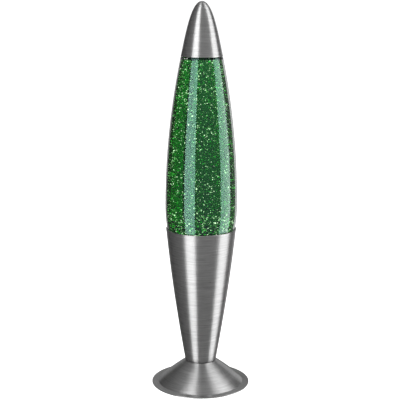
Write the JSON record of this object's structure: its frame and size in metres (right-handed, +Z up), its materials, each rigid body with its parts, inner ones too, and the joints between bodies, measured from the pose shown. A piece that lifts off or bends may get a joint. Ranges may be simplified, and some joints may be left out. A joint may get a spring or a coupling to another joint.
{
  "type": "lava lamp",
  "caption": "Tall rocket-shaped table lamp: spun-metal foot and cone, lift-out bottle of green glitter liquid and pointed metal cap.",
  "frame": {"origin": "centre of the footprint, on the surface the lamp stands on", "axes": "+Z up along the lamp's axis, +Y towards the cord inlet at the back, +X to the right"},
  "size_m": [0.108, 0.108, 0.42],
  "materials": {
    "spun_aluminium": "spun and lathe-brushed, satin",
    "bottle_glass": "clear, smooth",
    "green_liquid": "clear green liquid with fine glitter",
    "crown_steel": "gold lacquered tinplate",
    "liner_plastic": "soft sealing disc",
    "black_plate": "black powder coat",
    "black_rubber": "matt moulded",
    "zinc_steel": "zinc plated",
    "brass": "plain turned and pressed",
    "block_plastic": "moulded polyamide",
    "brown_insulation": "extruded sleeve",
    "blue_insulation": "extruded sleeve",
    "green_insulation": "extruded sleeve, green and yellow",
    "black_phenolic": "moulded thermoset",
    "white_ceramic": "fired, unglazed",
    "solder": "solder blob",
    "vitrite": "black glass insulator",
    "nickel_cap": "nickel-plated brass",
    "bulb_glass": "clear blown glass",
    "wire": "drawn nickel wire",
    "tungsten": "coiled tungsten wire"
  },
  "bodies": {
    "base": {"foot_pad": "black_rubber", "base_plate": "black_plate", "foot_shell": "spun_aluminium", "cord_grommet": "black_rubber", "body_shell": "spun_aluminium", "threaded_tube": "zinc_steel", "upper_washer": "zinc_steel", "upper_nut": "zinc_steel", "lower_washer": "zinc_steel", "lower_nut": "zinc_steel", "bottom_washer": "zinc_steel", "bottom_nut": "zinc_steel", "earth_tag": "brass", "terminal_block": "block_plastic", "terminal_block_screw": "zinc_steel", "screw_live_cord": "brass", "screw_live_lamp": "brass", "screw_earth_cord": "brass", "screw_earth_lamp": "brass", "screw_neutral_cord": "brass", "screw_neutral_lamp": "brass", "live_lead": "brown_insulation", "neutral_lead": "blue_insulation", "earth_lead": "green_insulation", "lampholder_dome": "black_phenolic", "lampholder_insert": "white_ceramic", "lampholder_skirt": "black_phenolic", "lampholder_sleeve": "brass", "lampholder_contact": "brass", "lampholder_screw_live": "brass", "lampholder_screw_neutral": "brass"},
    "bulb_carrier": {"bulb_tip": "solder"},
    "bulb": {"bulb_insulator": "vitrite", "bulb_cap": "nickel_cap", "bulb_glass": "bulb_glass", "bulb_stem": "bulb_glass", "bulb_wire_left": "wire", "bulb_wire_right": "wire", "bulb_filament": "tungsten"},
    "bottle": {"bottle_glass": "bottle_glass", "bottle_liquid": "green_liquid", "closure_liner": "liner_plastic", "crown_closure": "crown_steel"},
    "cap": {"cap_shell": "spun_aluminium"}
  },
  "joints": [
    {"name": "bottle_lift", "type": "slide", "parent": "base", "child": "bottle", "axis": [0, 0, 1], "range_m": [0, 0.08]},
    {"name": "cap_lift", "type": "slide", "parent": "bottle", "child": "cap", "axis": [0, 0, 1], "range_m": [0, 0.06]},
    {"name": "bulb_lift", "type": "slide", "parent": "base", "child": "bulb_carrier", "axis": [0, 0, 1], "range_m": [0, 0.00846]},
    {"name": "bulb_turn", "type": "hinge", "parent": "bulb_carrier", "child": "bulb", "pos_m": [0, 0, 0.06], "axis": [0, 0, 1], "range_deg": [0, 1080]}
  ],
  "couplings": [
    {"joint": "bulb_turn", "follows": "bulb_lift", "rad_per_m": 2228.1}
  ]
}
